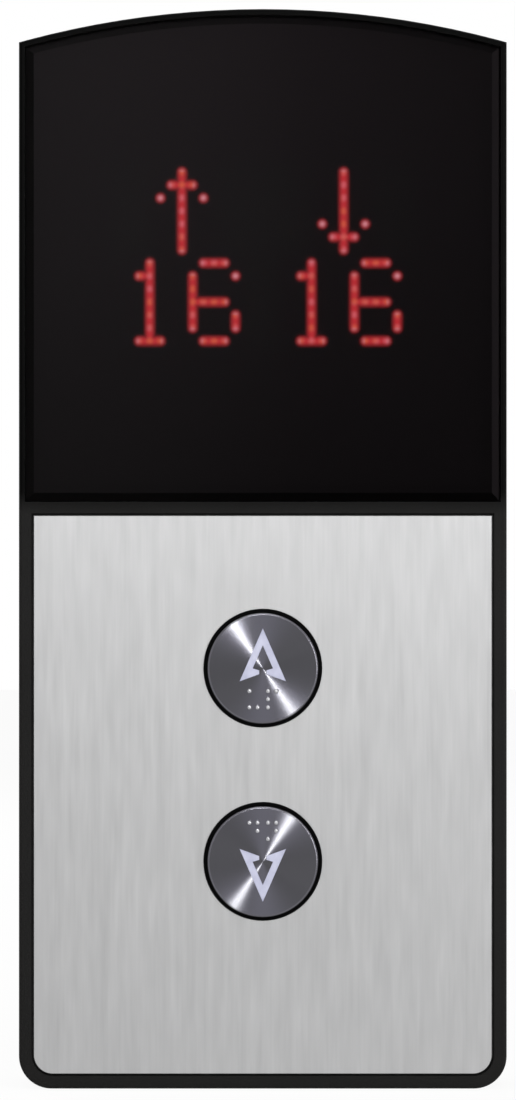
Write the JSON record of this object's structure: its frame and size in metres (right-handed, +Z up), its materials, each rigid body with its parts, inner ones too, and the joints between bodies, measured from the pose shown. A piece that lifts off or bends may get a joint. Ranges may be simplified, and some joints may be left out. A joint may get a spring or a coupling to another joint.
{
  "type": "elevator call button panel",
  "caption": "Wall-mounted lift hall panel: arched black frame, smoked dot-matrix display lens, brushed steel plate and round illuminated up and down push buttons.",
  "frame": {"origin": "middle of the wall screw pattern on the rear face of the back box, at mid-height", "axes": "+Z up the wall, +Y into the wall, +X to the right as seen from the front"},
  "size_m": [0.15, 0.0323, 0.332],
  "materials": {
    "satin_black": "satin moulded",
    "smoked_lens": "polished, see-through smoke",
    "foam": "matte foam",
    "brushed_steel": "vertical hairline",
    "spun_steel": "concentric hairline",
    "bright_steel": "bright",
    "zinc": "zinc plated",
    "circuit_board": "solder mask",
    "module_black": "matte",
    "chip_black": "moulded epoxy",
    "terminal_green": "moulded",
    "ivory_nylon": "moulded",
    "switch_blue": "moulded",
    "galvanised": "zinc coated sheet",
    "rubber_black": "matte",
    "black_screw": "black oxide",
    "brass": "plain",
    "lit_red": "lit",
    "collar_black": "satin moulded",
    "legend_glow": "lit, frosted",
    "white_acetal": "moulded",
    "spring_steel": "drawn wire",
    "switch_black": "moulded",
    "actuator_red": "moulded",
    "led_clear": "clear epoxy"
  },
  "bodies": {
    "panel": {"front_frame": "satin_black", "display_lens": "smoked_lens", "lens_tape": "foam", "faceplate": "brushed_steel", "faceplate_studs": "bright_steel", "stud_nuts": "zinc", "display_board": "circuit_board", "display_screws": "zinc", "left_arrow_module": "module_black", "left_tens_module": "module_black", "left_units_module": "module_black", "right_arrow_module": "module_black", "right_tens_module": "module_black", "right_units_module": "module_black", "left_lit_dots": "lit_red", "right_lit_dots": "lit_red", "driver_chips": "chip_black", "terminal_block": "terminal_green", "button_headers": "ivory_nylon", "address_switch": "switch_blue", "back_box": "galvanised", "cable_grommet": "rubber_black", "frame_screws": "black_screw", "earth_stud": "brass", "up_housing": "collar_black", "up_spring": "spring_steel", "up_switch_board": "circuit_board", "up_microswitch": "switch_black", "up_leds": "led_clear", "up_socket": "ivory_nylon", "up_board_screws": "zinc", "down_housing": "collar_black", "down_spring": "spring_steel", "down_switch_board": "circuit_board", "down_microswitch": "switch_black", "down_leds": "led_clear", "down_socket": "ivory_nylon", "down_board_screws": "zinc"},
    "up_button": {"up_cap": "spun_steel", "up_arrow_lens": "legend_glow", "up_plunger": "white_acetal"},
    "up_lever": {"up_switch_lever": "bright_steel"},
    "up_actuator": {"up_switch_actuator": "actuator_red"},
    "down_button": {"down_cap": "spun_steel", "down_arrow_lens": "legend_glow", "down_plunger": "white_acetal"},
    "down_lever": {"down_switch_lever": "bright_steel"},
    "down_actuator": {"down_switch_actuator": "actuator_red"}
  },
  "joints": [
    {"name": "up_press", "type": "slide", "parent": "panel", "child": "up_button", "axis": [0, 1, 0], "range_m": [0, 0.0015], "stiffness_N_per_m": 600, "springref_m": -0.0025, "deforming": ["up_spring"]},
    {"name": "up_lever_pivot", "type": "hinge", "parent": "panel", "child": "up_lever", "pos_m": [-0.0054, -0.01683, -0.0412], "axis": [0, 0, 1], "range_deg": [0, 9.4]},
    {"name": "up_actuator_slide", "type": "slide", "parent": "panel", "child": "up_actuator", "axis": [0, 1, 0], "range_m": [0, 0.0007]},
    {"name": "down_press", "type": "slide", "parent": "panel", "child": "down_button", "axis": [0, 1, 0], "range_m": [0, 0.0015], "stiffness_N_per_m": 600, "springref_m": -0.0025, "deforming": ["down_spring"]},
    {"name": "down_lever_pivot", "type": "hinge", "parent": "panel", "child": "down_lever", "pos_m": [0.0054, -0.01683, -0.0916], "axis": [0, 0, -1], "range_deg": [0, 9.4]},
    {"name": "down_actuator_slide", "type": "slide", "parent": "panel", "child": "down_actuator", "axis": [0, 1, 0], "range_m": [0, 0.0007]}
  ],
  "couplings": [
    {"joint": "up_lever_pivot", "follows": "up_press", "rad_per_m": 107.8},
    {"joint": "up_actuator_slide", "follows": "up_press", "ratio": 0.45},
    {"joint": "down_lever_pivot", "follows": "down_press", "rad_per_m": 107.8},
    {"joint": "down_actuator_slide", "follows": "down_press", "ratio": 0.45}
  ]
}
